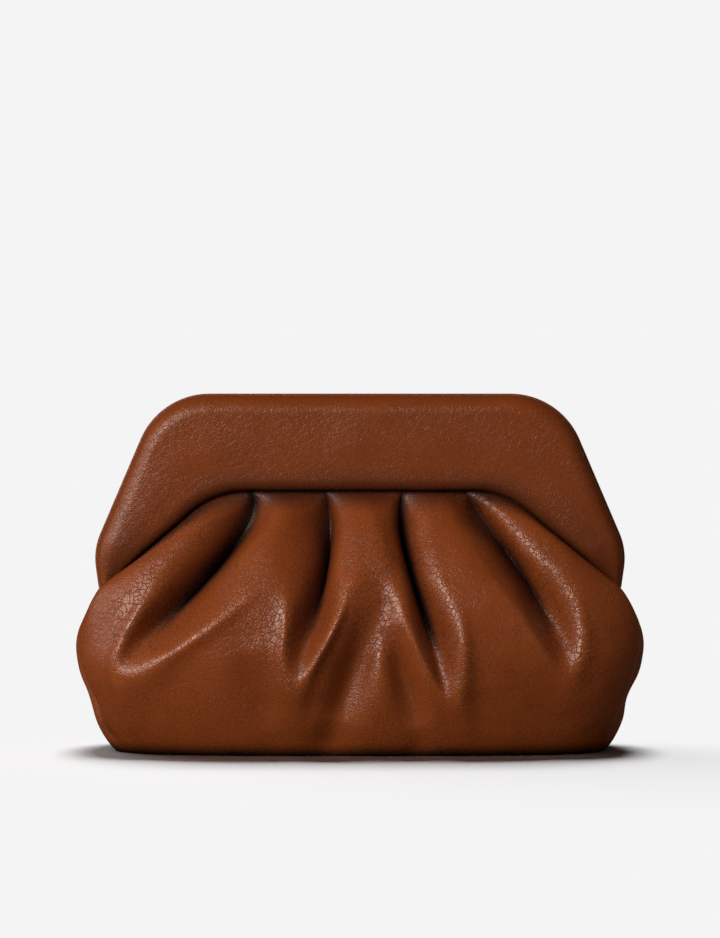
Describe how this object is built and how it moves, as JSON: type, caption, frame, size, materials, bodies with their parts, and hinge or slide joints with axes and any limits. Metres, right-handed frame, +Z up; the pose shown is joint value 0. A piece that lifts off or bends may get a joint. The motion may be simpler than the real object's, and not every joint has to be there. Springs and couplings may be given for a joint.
{
  "type": "clutch bag",
  "caption": "Soft leather clutch bag: a hollow, pleated pouch with a flat base hangs in a padded inverted-U frame that closes over its mouth.",
  "frame": {"origin": "middle of the base on the floor", "axes": "+X across the bag to the right as seen from the front, +Y from the front to the back, +Z up"},
  "size_m": [0.2994, 0.1132, 0.1878],
  "materials": {
    "pouch_leather": "soft creased leather with a satin gloss",
    "frame_leather": "fine-grained leather, satin, stretched over padding",
    "steel": "plain"
  },
  "bodies": {
    "root": {"pouch": "pouch_leather", "front_frame": "frame_leather", "back_frame": "frame_leather", "hinge_pin_left": "steel", "hinge_pin_right": "steel", "clasp": "steel"}
  },
  "joints": []
}
